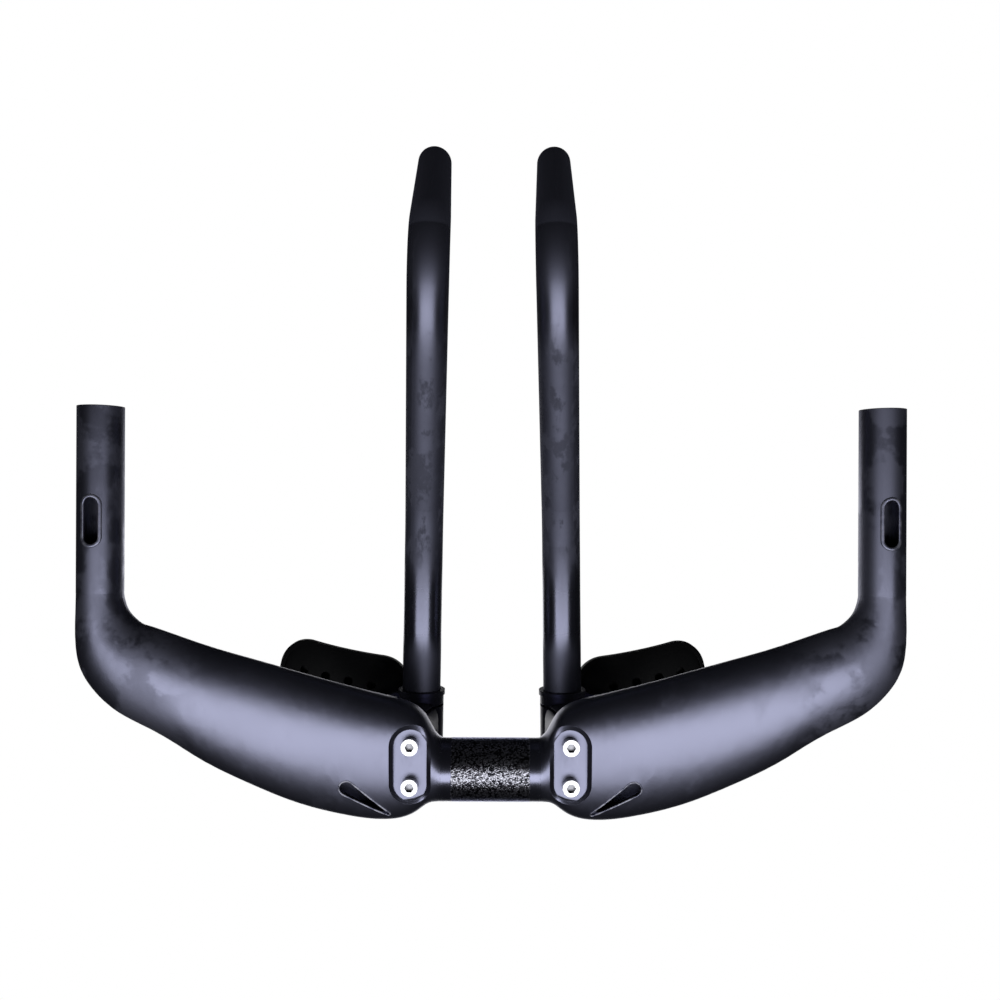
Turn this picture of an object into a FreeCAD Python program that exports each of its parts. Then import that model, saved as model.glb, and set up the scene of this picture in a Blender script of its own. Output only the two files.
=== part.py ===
import FreeCAD, Part
import math
import os

# Time trial handlebar, in millimetres. The origin is the centre of the stem section.
# X points to the rider's right, Y forward along the bicycle and Z up.
# Every sub-part is drawn for the right side, and the left one is its mirror image.

Vector = FreeCAD.Vector
RIGHT = Vector(1, 0, 0)
FORWARD = Vector(0, 1, 0)
UP = Vector(0, 0, 1)
ORIGIN = Vector(0, 0, 0)

# Base bar: round stem section, swept aero wings, elbows and forward horns.
stem_diameter = 31.8
stem_length = 50.0
bar_width = 392.6
bar_reach = 185.0
bar_wall = 2.2
wing_drop = 12.0
wing_taper = 0.12
taper_share = 0.125
elbow_forward = 92.0
elbow_radius = 13.1
horn_diameter = 22.2
horn_flare = 0.0
horn_rise = 0.0
lever_bore = 19.0
lever_depth = 42.0
horn_core = 18.2

# Wing sections from the stem to the elbow: share of the span, reach ahead of and behind
# the sweep line, half thickness, and squareness (2 is an ellipse, more is boxier).
wing_sections = [
    (0.024, 17.4, 17.1, 15.7, 2.1),
    (0.054, 23.6, 19.9, 15.4, 2.4),
    (0.088, 27.3, 25.1, 15.0, 2.7),
    (0.136, 28.5, 30.5, 14.7, 2.7),
    (0.197, 28.1, 34.5, 14.3, 2.6),
    (0.347, 26.8, 38.9, 13.2, 2.4),
    (0.497, 26.1, 39.8, 12.4, 2.3),
    (0.637, 25.6, 37.6, 12.0, 2.3),
    (0.816, 25.0, 32.7, 11.7, 2.2),
]
# Elbow sections, fanned about the inside of the bend: share of the turn, how far the inner and
# outer edges lie beyond those of the horn, half thickness and squareness.
elbow_sections = [
    (0.00, 3.9, 32.3, 11.6, 2.2),
    (0.15, 3.1, 26.3, 11.5, 2.2),
    (0.29, 2.0, 21.3, 11.4, 2.15),
    (0.45, 1.2, 15.4, 11.3, 2.1),
    (0.61, 0.6, 8.1, 11.2, 2.05),
    (0.81, 0.1, 1.9, 11.15, 2.0),
]
hollow_from = 0.18
section_points = 10
skin_overlap = 3.0
skin_inset = 0.05

# Cable openings: an oval outlet under each horn and a teardrop inlet under each wing.
outlet_width = 8.0
outlet_length = 24.0
outlet_from_end = 57.0
inlet_head_x = 71.8
inlet_head_y = -5.4
inlet_tip_x = 51.4
inlet_tip_y = -19.6
inlet_head_radius = 3.5
inlet_tip_radius = 0.6
inlet_ceiling = -7.8

# Bolt pockets and pedestal seats on the wing shoulders.
mount_x = 40.2
mount_y = 6.0
mount_pitch = 20.0
pocket_width = 16.8
pocket_length = 36.0
pocket_floor = -13.0
seat_height = 12.8
seat_margin = 0.4

# Screw sizes.
bolt_diameter = 5.0
head_diameter = 8.5
head_height = 5.0
socket_width = 4.0
socket_depth = 2.5
thread_clearance = 0.1
hole_clearance = 0.3
base_thread = 14.0
bracket_thread = 6.0
tap_spare = 0.5
cut_spare = 1.0

# Extension: level rear, dropping middle and upturned, slightly tapered tip.
tube_diameter = 22.2
tube_bore = 18.8
tube_offset = 1.3
tube_height = 60.0
tube_rear = -28.0
tube_rise = 0.0
tube_toe_in = 0.7
first_bend_forward = 125.0
first_bend_radius = 60.0
drop_forward = 272.0
drop_height = -6.0
drop_half_spacing = 32.7
second_bend_radius = 34.0
tip_rise = 50.0
tip_length = 113.0
tip_half_spacing = 36.3
tip_diameter = 20.4
plug_bore = 17.8
plug_depth = 40.0
seam_turn = 50.0

# Pedestal and split collar that hold the extension.
collar_diameter = 26.0
collar_rear = -12.0
collar_front = 28.0
lip_diameter = 27.4
lip_width = 2.6
tube_clearance = 0.1
foot_length = 36.0
foot_width = 18.0
neck_length = 34.0
neck_width = 19.0
# Pedestal sections from the foot to the tube's underside: share of the height, length and width.
pedestal_sections = [
    (0.00, foot_length, foot_width),
    (0.21, 31.0, 15.0),
    (0.47, 29.0, 14.0),
    (0.85, 32.0, 17.0),
    (1.00, neck_length, neck_width),
]
platform_width = 18.0
platform_length = 37.0
platform_rise = 19.0
pinch_gap = 1.6
pinch_drop = 16.5
pinch_seat = 6.6
relief_forward = 19.0
relief_width = 1.2

# Riser spacer, bracket, cup and pad of the arm rest.
spacer_height = 4.0
bracket_thickness = 4.0
bracket_radius = 15.0
cup_x = 99.6
cup_y = 0.0
cup_toe_in = 12.0
cup_width = 82.0
cup_front = 47.2
cup_rear = 44.0
cup_corner = 19.0
cup_radius = 64.0
cup_thickness = 3.0
cup_rim = 3.0
cup_rim_drop = 1.6
cup_boss_width = 40.0
cup_boss_length = 58.0
cup_boss_corner = 8.0
cup_hole_diameter = 5.4
cup_hole_columns = 4
cup_hole_pitch = 14.4
cup_hole_first = -19.0
cup_row_front = 28.0
cup_row_pitch = 22.0
cup_rows = 3
cup_bolt_column = 1
sunk_head_diameter = 9.4
sunk_head_clearance = 0.08
sunk_socket_width = 3.0
sunk_socket_depth = 1.8
nut_width = 8.0
nut_height = 4.0
bolt_past_nut = 1.2
pad_thickness = 9.0
pad_inset = 3.6
pad_clearance = 0.3

# Values worked out from the sizes above.
stem_radius = stem_diameter / 2
horn_radius = horn_diameter / 2
tube_radius = tube_diameter / 2
collar_radius = collar_diameter / 2
bolt_radius = bolt_diameter / 2
head_radius = head_diameter / 2
root_x = stem_length / 2
flare = math.radians(horn_flare)
pivot_x = bar_width / 2 - (bar_reach - elbow_forward) * math.tan(flare) - elbow_radius - horn_radius
elbow_inner = elbow_radius + elbow_sections[0][1]
elbow_outer = elbow_radius + horn_diameter + elbow_sections[0][2]
sweep_end = elbow_forward - (elbow_inner + elbow_outer) / 2
tube_x = mount_x + tube_offset
collar_middle = (collar_front + collar_rear) / 2
platform_height = tube_height + platform_rise
pinch_height = tube_height - pinch_drop
bracket_bottom = platform_height + spacer_height
bracket_top = bracket_bottom + bracket_thickness
bolt_spots = [mount_y + mount_pitch / 2, mount_y - mount_pitch / 2]


def mirrored(shape):
    """Return the left-hand twin of a right-hand shape."""
    return shape.mirror(ORIGIN, RIGHT)


def cylinder(radius, height, base, axis):
    """Return a cylinder that starts at base and runs along axis."""
    return Part.makeCylinder(radius, height, base, axis)


def outline_wire(points):
    """Return a closed wire: a pair of points is a line, and a triple is an arc through its middle point."""
    edges = []
    for run in points:
        if len(run) == 2:
            edges.append(Part.LineSegment(*run).toShape())
        else:
            edges.append(Part.Arc(*run).toShape())
    return Part.Wire(edges)


def obround_wire(centre, length_axis, width_axis, length, width):
    """Return a slot outline with round ends, lying in the plane of its two axes."""
    half_run = (length - width) / 2
    radius = width / 2
    ahead = centre + length_axis * half_run
    behind = centre - length_axis * half_run
    side = width_axis * radius
    return outline_wire([
        (behind + side, ahead + side),
        (ahead + side, ahead + length_axis * radius, ahead - side),
        (ahead - side, behind - side),
        (behind - side, behind - length_axis * radius, behind + side),
    ])


def obround(centre, length, width, height):
    """Return an upright slot-shaped prism, long way forward."""
    return Part.Face(obround_wire(centre, FORWARD, RIGHT, length, width)).extrude(UP * height)


def rounded_plate(centre, width_axis, length_axis, sides, corner, height):
    """Return an upright prism with round corners. sides is left, right, rear and front reach."""
    left, right, rear, front = sides
    diagonal = corner * (1 - math.sqrt(0.5))

    def at(across, along):
        return centre + width_axis * across + length_axis * along

    wire = outline_wire([
        (at(left + corner, rear), at(right - corner, rear)),
        (at(right - corner, rear), at(right - diagonal, rear + diagonal), at(right, rear + corner)),
        (at(right, rear + corner), at(right, front - corner)),
        (at(right, front - corner), at(right - diagonal, front - diagonal), at(right - corner, front)),
        (at(right - corner, front), at(left + corner, front)),
        (at(left + corner, front), at(left + diagonal, front - diagonal), at(left, front - corner)),
        (at(left, front - corner), at(left, rear + corner)),
        (at(left, rear + corner), at(left + diagonal, rear + diagonal), at(left + corner, rear)),
    ])
    return Part.Face(wire).extrude(UP * height)


def tapered_plate(head, big_radius, tip, small_radius, height):
    """Return an upright prism round two circles of different radii, joined by their tangents."""
    run = tip - head
    along = Vector(run).normalize()
    side = Vector(-along.y, along.x, 0)
    lean = math.asin((big_radius - small_radius) / run.Length)
    left = along * math.sin(lean) + side * math.cos(lean)
    right = along * math.sin(lean) - side * math.cos(lean)
    wire = outline_wire([
        (head + left * big_radius, tip + left * small_radius),
        (tip + left * small_radius, tip + along * small_radius, tip + right * small_radius),
        (tip + right * small_radius, head + right * big_radius),
        (head + right * big_radius, head - along * big_radius, head + left * big_radius),
    ])
    return Part.Face(wire).extrude(UP * height)


def hexagon(width, height, base, axis):
    """Return a hexagonal prism of a given width across flats, centred on its axis."""
    corner = width / math.sqrt(3)
    first = axis.cross(UP) if abs(axis.z) < 0.5 else Vector(RIGHT)
    second = axis.cross(first)
    corners = []
    for step in range(7):
        angle = math.radians(60 * step)
        corners.append(base + first * (corner * math.cos(angle)) + second * (corner * math.sin(angle)))
    return Part.Face(Part.makePolygon(corners)).extrude(axis * height)


def socket_bolt(seat, axis, length):
    """Return a socket-head bolt whose head rests at seat and whose shank runs along axis."""
    head = cylinder(head_radius, head_height, seat - axis * head_height, axis)
    shank = cylinder(bolt_radius, length, seat, axis)
    socket = hexagon(socket_width, socket_depth, seat - axis * head_height, axis)
    return head.fuse(shank).cut(socket).removeSplitter()


def section(place, axis, across, rear, front, half_height, squareness, taper):
    """Return the upper and lower curve of a section across axis, thicker towards the front by taper."""
    upward = axis.cross(across)
    middle = (front + rear) / 2
    half_chord = (front - rear) / 2
    steps = [step / section_points for step in range(section_points + 1)]
    at_front = upward * (math.pi * half_height * (1 + taper))
    at_rear = upward * (-math.pi * half_height * (1 - taper))
    halves = []
    for first_angle, starts, ends in ((0, at_front, at_rear), (math.pi, at_rear, at_front)):
        points = []
        for step in steps:
            lengthwise = math.cos(first_angle + math.pi * step)
            heightwise = math.sin(first_angle + math.pi * step)
            reach = (abs(lengthwise) ** squareness + abs(heightwise) ** squareness) ** (-1 / squareness)
            along = middle + half_chord * reach * lengthwise
            height = half_height * reach * heightwise * (1 + taper * reach * lengthwise)
            points.append(place + across * along + upward * height)
        curve = Part.BSplineCurve()
        curve.interpolate(Points=points, Parameters=steps, InitialTangent=starts, FinalTangent=ends,
                          Scale=False)
        halves.append(curve)
    return halves


def skin(sections):
    """Return a solid whose surface runs smoothly through sections of two curves each."""
    stations = [0.0]
    for near, far in zip(sections, sections[1:]):
        gaps = []
        for near_half, far_half in zip(near, far):
            gaps += [(a - b).Length for a, b in zip(near_half.getPoles(), far_half.getPoles())]
        stations.append(stations[-1] + sum(gaps) / len(gaps))
    faces = []
    for half in range(2):
        rows = []
        for poles in zip(*[curves[half].getPoles() for curves in sections]):
            row = Part.BSplineCurve()
            row.interpolate(Points=list(poles), Parameters=stations)
            rows.append(row)
        profile = sections[0][half]
        surface = Part.BSplineSurface()
        surface.buildFromPolesMultsKnots([row.getPoles() for row in rows],
                                         profile.getMultiplicities(), rows[0].getMultiplicities(),
                                         profile.getKnots(), rows[0].getKnots(), False, False,
                                         profile.Degree, rows[0].Degree)
        faces.append(surface.toShape())
    for curves in (sections[0], sections[-1]):
        faces.append(Part.Face(Part.Wire([curve.toShape() for curve in curves])))
    shell = Part.makeShell(faces)
    shell.sewShape()
    solid = Part.makeSolid(shell)
    if solid.Volume < 0:
        solid.reverse()
    return solid


def horn_axis(share=1.0):
    """Return the direction of the bar's centre line at a share of the elbow's turn."""
    turn = share * (math.pi / 2 - flare)
    rise = math.radians(horn_rise) * share
    return Vector(math.cos(turn) * math.cos(rise), math.sin(turn) * math.cos(rise), math.sin(rise))


def across_axis(share=1.0):
    """Return the level direction across the bar, towards its front or inner edge."""
    turn = share * (math.pi / 2 - flare)
    return Vector(-math.sin(turn), math.cos(turn), 0)


pivot = Vector(pivot_x, elbow_forward, -wing_drop)
horn_start = pivot - across_axis() * (elbow_radius + horn_radius)
horn_length = (bar_reach - horn_start.y) / horn_axis().y
horn_end = horn_start + horn_axis() * horn_length


def wing_height(share):
    """Return the height of the wing's middle, falling smoothly from the stem to the elbow."""
    return -wing_drop * share * share * (3 - 2 * share)


def arm_sections(inset, first_share):
    """Return the sections of one wing and elbow, drawn in by inset, from a share of the span."""
    sections = []
    span = pivot_x - root_x
    for share, ahead, behind, half, square in wing_sections:
        if share >= first_share:
            place = Vector(root_x + share * span, share * sweep_end, wing_height(share))
            taper = wing_taper * min(1, share / taper_share)
            sections.append(section(place, RIGHT, FORWARD, inset - behind, ahead - inset,
                                    half - inset, square, taper))
    for share, inner, outer, half, square in elbow_sections:
        near = elbow_radius + inner + inset
        far = elbow_radius + horn_diameter + outer - inset
        sections.append(section(pivot, horn_axis(share), across_axis(share), -far, -near,
                                half - inset, square, wing_taper * (1 - share)))
    return sections


def round_section(place, axis, across, radius):
    """Return a circular section that joins smoothly with the others."""
    return section(place, axis, across, -radius, radius, radius, 2, 0)


def horn_sections(radius):
    """Return the two sections that carry a skin a little way into the horn."""
    sections = []
    for ahead in (0, skin_overlap):
        place = horn_start + horn_axis() * ahead
        sections.append(round_section(place, horn_axis(), across_axis(), radius - skin_inset))
    return sections


def arm_outside():
    """Return one wing with its elbow and horn, as a solid."""
    sections = []
    for x in (root_x - skin_overlap, root_x):
        sections.append(round_section(RIGHT * x, RIGHT, FORWARD, stem_radius - skin_inset))
    sections += arm_sections(0, 0)
    sections += horn_sections(horn_radius)
    return skin(sections).fuse(cylinder(horn_radius, horn_length, horn_start, horn_axis()))


def arm_hollow():
    """Return the space inside one wing, elbow and horn, open at the horn's end."""
    core = horn_core / 2
    space = skin(arm_sections(bar_wall, hollow_from) + horn_sections(core))
    bore = cylinder(core, horn_length, horn_start, horn_axis())
    socket = cylinder(lever_bore / 2, lever_depth, horn_end - horn_axis() * lever_depth, horn_axis())
    return space.fuse(bore).fuse(socket)


def cable_outlet():
    """Return the cut for the oval opening under one horn."""
    centre = horn_end - horn_axis() * outlet_from_end
    upward = horn_axis().cross(across_axis())
    wire = obround_wire(centre, horn_axis(), across_axis(), outlet_length, outlet_width)
    return Part.Face(wire).extrude(upward * -horn_diameter)


def cable_inlet():
    """Return the cut for the teardrop opening under one wing, which ends at a level ceiling."""
    below = inlet_ceiling - stem_diameter
    head = Vector(inlet_head_x, inlet_head_y, below)
    tip = Vector(inlet_tip_x, inlet_tip_y, below)
    return tapered_plate(head, inlet_head_radius, tip, inlet_tip_radius, stem_diameter)


def shoulder_cuts():
    """Return the bolt pocket, the pedestal's seat and the bolt holes of one wing shoulder."""
    below = Vector(mount_x, mount_y, pocket_floor - stem_diameter)
    above = Vector(mount_x, mount_y, seat_height)
    cuts = [obround(below, pocket_length, pocket_width, stem_diameter)]
    cuts.append(obround(above, foot_length + 2 * seat_margin, foot_width + 2 * seat_margin, stem_diameter))
    for spot in bolt_spots:
        base = Vector(mount_x, spot, -stem_diameter)
        cuts.append(cylinder(bolt_radius + hole_clearance, 2 * stem_diameter, base, UP))
    return cuts


def make_base_bar():
    """Return the whole base bar."""
    arm = arm_outside().cut([arm_hollow(), cable_outlet(), cable_inlet()])
    arm = arm.cut(shoulder_cuts())
    stem = cylinder(stem_radius, stem_length, RIGHT * -root_x, RIGHT)
    return stem.fuse([arm, mirrored(arm)]).removeSplitter()


def tube_points():
    """Return the corners of the extension's centre line, from its rear end to its tip."""
    rising = math.tan(math.radians(tube_rise))
    closing = math.tan(math.radians(tube_toe_in))

    def on_level_run(forward):
        ahead = forward - collar_middle
        return Vector(tube_x - ahead * closing, forward, tube_height + ahead * rising)

    drop = Vector(drop_half_spacing, drop_forward, drop_height)
    rise = math.radians(tip_rise)
    outward = (tip_half_spacing - drop_half_spacing) / tip_length
    tip = drop + Vector(outward, math.cos(rise), math.sin(rise)) * tip_length
    return [on_level_run(tube_rear), on_level_run(first_bend_forward), drop, tip]


def bend(before, corner, after, radius):
    """Return the start, middle and end of the arc that rounds a corner."""
    back = (before - corner).normalize()
    onward = (after - corner).normalize()
    half_angle = back.getAngle(onward) / 2
    middle = (back + onward).normalize()
    centre = corner + middle * (radius / math.sin(half_angle))
    reach = radius / math.tan(half_angle)
    return corner + back * reach, centre - middle * radius, corner + onward * reach


def tube_along(edges, start, direction, radius):
    """Return a solid round bar along joined edges, with its seam turned out of the bends' plane."""
    circle = Part.Circle(start, direction, radius).toShape()
    circle.rotate(start, direction, seam_turn)
    return Part.Wire(edges).makePipeShell([Part.Wire(circle)], True, False)


def make_extension():
    """Return the bent extension tube, bored all through and reamed at its tip for a plug."""
    rear, first, drop, tip = tube_points()
    bend_one = bend(rear, first, drop, first_bend_radius)
    bend_two = bend(first, drop, tip, second_bend_radius)
    level = (first - rear).normalize()
    tip_axis = (tip - drop).normalize()
    edges = [
        Part.LineSegment(rear, bend_one[0]).toShape(),
        Part.Arc(*bend_one).toShape(),
        Part.LineSegment(bend_one[2], bend_two[0]).toShape(),
        Part.Arc(*bend_two).toShape(),
    ]
    tip_run = (tip - bend_two[2]).Length
    outside = tube_along(edges, rear, level, tube_radius)
    outside = outside.fuse(Part.makeCone(tube_radius, tip_diameter / 2, tip_run, bend_two[2], tip_axis))
    core = tube_along(edges, rear, level, tube_bore / 2)
    core = core.fuse(cylinder(tube_bore / 2, tip_run - plug_depth, bend_two[2], tip_axis))
    plug = cylinder(plug_bore / 2, tip_run, bend_two[2], tip_axis)
    return outside.cut(core).cut(plug).removeSplitter()


def make_clamp():
    """Return the pedestal with its split collar and the platform of the arm rest."""
    rear, first, _, _ = tube_points()
    axis = (first - rear).normalize()

    def on_axis(forward):
        return rear + axis * ((forward - rear.y) / axis.y)

    wires = []
    for share, length, width in pedestal_sections:
        height = seat_height + share * (tube_height - tube_radius - seat_height)
        wires.append(obround_wire(Vector(mount_x, mount_y, height), FORWARD, RIGHT, length, width))
    pedestal = Part.makeLoft(wires, True)
    run = (collar_front - collar_rear) / axis.y
    collar = cylinder(collar_radius, run, on_axis(collar_rear), axis)
    front_lip = cylinder(lip_diameter / 2, lip_width, on_axis(collar_front) - axis * lip_width, axis)
    rear_lip = cylinder(lip_diameter / 2, lip_width, on_axis(collar_rear), axis)
    platform = obround(Vector(tube_x, mount_y, tube_height), platform_length, platform_width,
                       platform_height - tube_height)
    body = pedestal.fuse([collar, front_lip, rear_lip, platform])
    bore = cylinder(tube_radius + tube_clearance, run + 2 * collar_diameter,
                    on_axis(collar_rear) - axis * collar_diameter, axis)
    slit_depth = tube_height - pinch_height + head_diameter
    slit = Part.makeBox(pinch_gap, relief_forward - collar_rear + collar_diameter, slit_depth)
    slit.translate(Vector(tube_x - pinch_gap / 2, collar_rear - collar_diameter, tube_height - slit_depth))
    relief = Part.makeBox(2 * collar_diameter, relief_width, slit_depth)
    relief.translate(Vector(tube_x - collar_diameter, relief_forward, tube_height - slit_depth))
    cuts = [bore, slit, relief]
    middle = Vector(tube_x, mount_y, pinch_height)
    inner = middle - RIGHT * collar_diameter
    cuts.append(cylinder(bolt_radius + thread_clearance, collar_diameter, inner, RIGHT))
    cuts.append(cylinder(bolt_radius + hole_clearance, collar_diameter, middle, RIGHT))
    cuts.append(cylinder(head_radius + hole_clearance, collar_diameter, middle + RIGHT * pinch_seat, RIGHT))
    for spot in bolt_spots:
        foot = Vector(mount_x, spot, seat_height)
        cuts.append(cylinder(bolt_radius + thread_clearance, base_thread + tap_spare, foot, UP))
        top = Vector(tube_x, spot, platform_height)
        cuts.append(cylinder(bolt_radius + thread_clearance, bracket_thread + tap_spare, top, UP * -1))
    return body.cut(cuts).removeSplitter()


def make_base_bolts():
    """Return the two bolts that hold the pedestal on the wing."""
    length = seat_height + base_thread - pocket_floor
    bolts = [socket_bolt(Vector(mount_x, spot, pocket_floor), UP, length) for spot in bolt_spots]
    return Part.makeCompound(bolts)


def make_pinch_bolt():
    """Return the cross bolt that closes the collar."""
    seat = Vector(tube_x + pinch_seat, mount_y, pinch_height)
    return socket_bolt(seat, RIGHT * -1, pinch_seat + neck_width / 2)


def make_spacer():
    """Return the riser spacer between collar and bracket."""
    base = Vector(tube_x, mount_y, platform_height)
    spacer = obround(base, platform_length, platform_width, spacer_height)
    holes = []
    for spot in bolt_spots:
        under = Vector(tube_x, spot, platform_height - cut_spare)
        holes.append(cylinder(bolt_radius + hole_clearance, spacer_height + 2 * cut_spare, under, UP))
    return spacer.cut(holes)


toe_in = math.radians(cup_toe_in)
cup_across = Vector(math.cos(toe_in), math.sin(toe_in), 0)
cup_along = Vector(-math.sin(toe_in), math.cos(toe_in), 0)
cup_place = Vector(cup_x, cup_y, 0)
cup_centre_height = bracket_top + cup_radius + cup_thickness


def on_cup(across, along, height):
    """Return a point given in the cup's own directions."""
    return cup_place + cup_across * across + cup_along * along + UP * height


def cup_hole_spots():
    """Return every adjusting hole's place across and along the cup."""
    spots = []
    for row in range(cup_rows):
        for column in range(cup_hole_columns):
            spots.append((cup_hole_first + column * cup_hole_pitch, cup_row_front - row * cup_row_pitch))
    return spots


def cup_bolt_spots():
    """Return the two holes that carry the cup's bolts."""
    across = cup_hole_first + cup_bolt_column * cup_hole_pitch
    return [(across, cup_row_front - row * cup_row_pitch) for row in range(1, cup_rows)]


def make_bracket():
    """Return the flat arm that carries the cup."""
    inner_spots = [Vector(tube_x, spot, bracket_bottom) for spot in bolt_spots]
    outer_spots = [on_cup(across, along, bracket_bottom) for across, along in cup_bolt_spots()]
    outer = (outer_spots[0] + outer_spots[1]) * 0.5
    arms = []
    for spot in inner_spots:
        arms.append(tapered_plate(outer, bracket_radius, spot, platform_width / 2, bracket_thickness))
    foot = Vector(tube_x, mount_y, bracket_bottom)
    plate = obround(foot, platform_length, platform_width, bracket_thickness).fuse(arms).removeSplitter()
    holes = []
    for spot in inner_spots + outer_spots:
        base = spot - UP * cut_spare
        holes.append(cylinder(bolt_radius + hole_clearance, bracket_thickness + 2 * cut_spare, base, UP))
    return plate.cut(holes)


def make_bracket_bolts():
    """Return the two bolts that hold bracket and spacer on the platform."""
    length = bracket_thickness + spacer_height + bracket_thread
    bolts = [socket_bolt(Vector(tube_x, spot, bracket_top), UP * -1, length) for spot in bolt_spots]
    return Part.makeCompound(bolts)


def cup_outline(inset, base, height):
    """Return a prism of the cup's outline, drawn in by inset."""
    half = cup_width / 2 - inset
    return rounded_plate(cup_place + UP * base, cup_across, cup_along,
                         (-half, half, inset - cup_rear, cup_front - inset), cup_corner - inset, height)


def along_cup(radius):
    """Return a round bar that runs past both ends of the cup, about the trough's axis."""
    length = 2 * (cup_front + cup_rear)
    return cylinder(radius, length, on_cup(0, -length / 2, cup_centre_height), cup_along)


def trough(outer_radius, inner_radius):
    """Return a round trough along the cup, between two radii."""
    return along_cup(outer_radius).cut(along_cup(inner_radius))


def sunk_head_height():
    """Return the height of a countersunk head with its 90 degree cone."""
    return sunk_head_diameter / 2 - bolt_radius


def sunk_head_top(across):
    """Return the height of the cup's inner face at a place across it."""
    return cup_centre_height - math.sqrt(cup_radius ** 2 - across ** 2)


def make_cup():
    """Return the arm rest's moulded cup."""
    outer = cup_radius + cup_thickness
    low = bracket_top - cup_rim_drop
    high = cup_centre_height - low
    shell = trough(outer, cup_radius).common(cup_outline(0, low, high))
    border = cup_outline(0, low, high).cut(cup_outline(cup_rim, low, high))
    rim = trough(outer + cup_rim_drop, cup_radius).common(border)
    half = cup_boss_width / 2
    middle = cup_row_front - cup_row_pitch * cup_rows / 2
    sides = (-half, half, middle - cup_boss_length / 2, middle + cup_boss_length / 2)
    boss = rounded_plate(cup_place + UP * bracket_top, cup_across, cup_along, sides, cup_boss_corner,
                         cup_thickness + cup_rim_drop)
    boss = boss.cut(along_cup(outer - cup_thickness / 2))
    cuts = []
    for across, along in cup_hole_spots():
        cuts.append(cylinder(cup_hole_diameter / 2, high, on_cup(across, along, low), UP))
    for across, along in cup_bolt_spots():
        depth = sunk_head_height()
        top = on_cup(across, along, sunk_head_top(across))
        rim_radius = sunk_head_diameter / 2 + sunk_head_clearance
        cuts.append(Part.makeCone(rim_radius, rim_radius - depth, depth, top, UP * -1))
        cuts.append(cylinder(rim_radius, cup_thickness, top, UP))
    return shell.fuse([rim, boss]).cut(cuts).removeSplitter()


def make_cup_bolts():
    """Return the two countersunk bolts of the cup."""
    bolts = []
    for across, along in cup_bolt_spots():
        top = on_cup(across, along, sunk_head_top(across))
        depth = sunk_head_height()
        reach = top.z - bracket_bottom + nut_height + bolt_past_nut
        head = Part.makeCone(sunk_head_diameter / 2, bolt_radius, depth, top, UP * -1)
        shank = cylinder(bolt_radius, reach, top, UP * -1)
        socket = hexagon(sunk_socket_width, sunk_socket_depth, top, UP * -1)
        bolts.append(head.fuse(shank).cut(socket).removeSplitter())
    return Part.makeCompound(bolts)


def make_cup_nuts():
    """Return the two nuts under the bracket."""
    nuts = []
    for across, along in cup_bolt_spots():
        base = on_cup(across, along, bracket_bottom - nut_height)
        under = base - UP * cut_spare
        hole = cylinder(bolt_radius + thread_clearance, nut_height + 2 * cut_spare, under, UP)
        nuts.append(hexagon(nut_width, nut_height, base, UP).cut(hole))
    return Part.makeCompound(nuts)


def make_pad():
    """Return the foam pad, plain, as it lies in the cup."""
    under = cup_radius - pad_clearance
    outline = cup_outline(pad_inset, bracket_top, cup_centre_height - bracket_top)
    return trough(under, under - pad_thickness).common(outline)


paired_parts = {
    "extension": make_extension,
    "extension_clamp": make_clamp,
    "base_bolts": make_base_bolts,
    "pinch_bolt": make_pinch_bolt,
    "riser_spacer": make_spacer,
    "armrest_bracket": make_bracket,
    "bracket_bolts": make_bracket_bolts,
    "armrest_cup": make_cup,
    "cup_bolts": make_cup_bolts,
    "cup_nuts": make_cup_nuts,
    "arm_pad": make_pad,
}

os.makedirs("parts", exist_ok=True)
make_base_bar().exportStep("parts/base_bar.step")
for name, make in paired_parts.items():
    shape = make()
    shape.exportStep("parts/right_" + name + ".step")
    mirrored(shape).exportStep("parts/left_" + name + ".step")
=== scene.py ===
"""Looks of the time trial handlebar: studio, finishes and the soft pieces that dress the solids.

All lengths are metres in the part's own frame. X is the rider's right, Y is forward and Z is up.
"""

from __future__ import annotations

import logging
import math
from dataclasses import dataclass, field
from enum import Enum
from typing import Any, Sequence, Union

import bmesh
import bpy
from mathutils import Matrix, Vector
from mathutils.bvhtree import BVHTree

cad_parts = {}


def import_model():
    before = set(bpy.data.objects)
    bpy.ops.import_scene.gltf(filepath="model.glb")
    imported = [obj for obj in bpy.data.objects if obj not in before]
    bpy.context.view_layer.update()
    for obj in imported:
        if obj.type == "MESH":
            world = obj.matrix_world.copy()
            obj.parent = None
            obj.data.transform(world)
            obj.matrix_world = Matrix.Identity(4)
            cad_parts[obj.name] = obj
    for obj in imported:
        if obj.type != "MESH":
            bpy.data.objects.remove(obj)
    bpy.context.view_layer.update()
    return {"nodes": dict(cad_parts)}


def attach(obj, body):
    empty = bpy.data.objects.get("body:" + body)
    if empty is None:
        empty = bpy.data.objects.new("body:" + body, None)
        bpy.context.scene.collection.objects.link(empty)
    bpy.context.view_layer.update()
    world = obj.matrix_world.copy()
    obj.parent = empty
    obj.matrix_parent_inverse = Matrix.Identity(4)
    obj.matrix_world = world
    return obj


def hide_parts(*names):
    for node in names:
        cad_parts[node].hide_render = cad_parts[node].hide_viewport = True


LOG = logging.getLogger("handlebar")
MM = 0.001
ARC_STEPS = 24
SKIN_SHEEN = (0.72, 0.74, 1.0)
BEVEL_SAMPLES = 6
EDGE_TURN = (0.02, 0.25)

Colour = tuple[float, float, float]
Point = tuple[float, float, float]
Span = tuple[float, float]
Number = Union[int, float]


class Side(Enum):
    """The two mirrored halves of the handlebar, with the sign of their X."""

    RIGHT = 1
    LEFT = -1

    @property
    def prefix(self) -> str:
        """Return the start of the node names on this side."""
        return self.name.lower() + "_"


class Slot(Enum):
    """Material slot names for the moulding and the pads; nothing in this script uses them."""

    MOULDING = "moulding"
    PAD = "pad"


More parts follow.
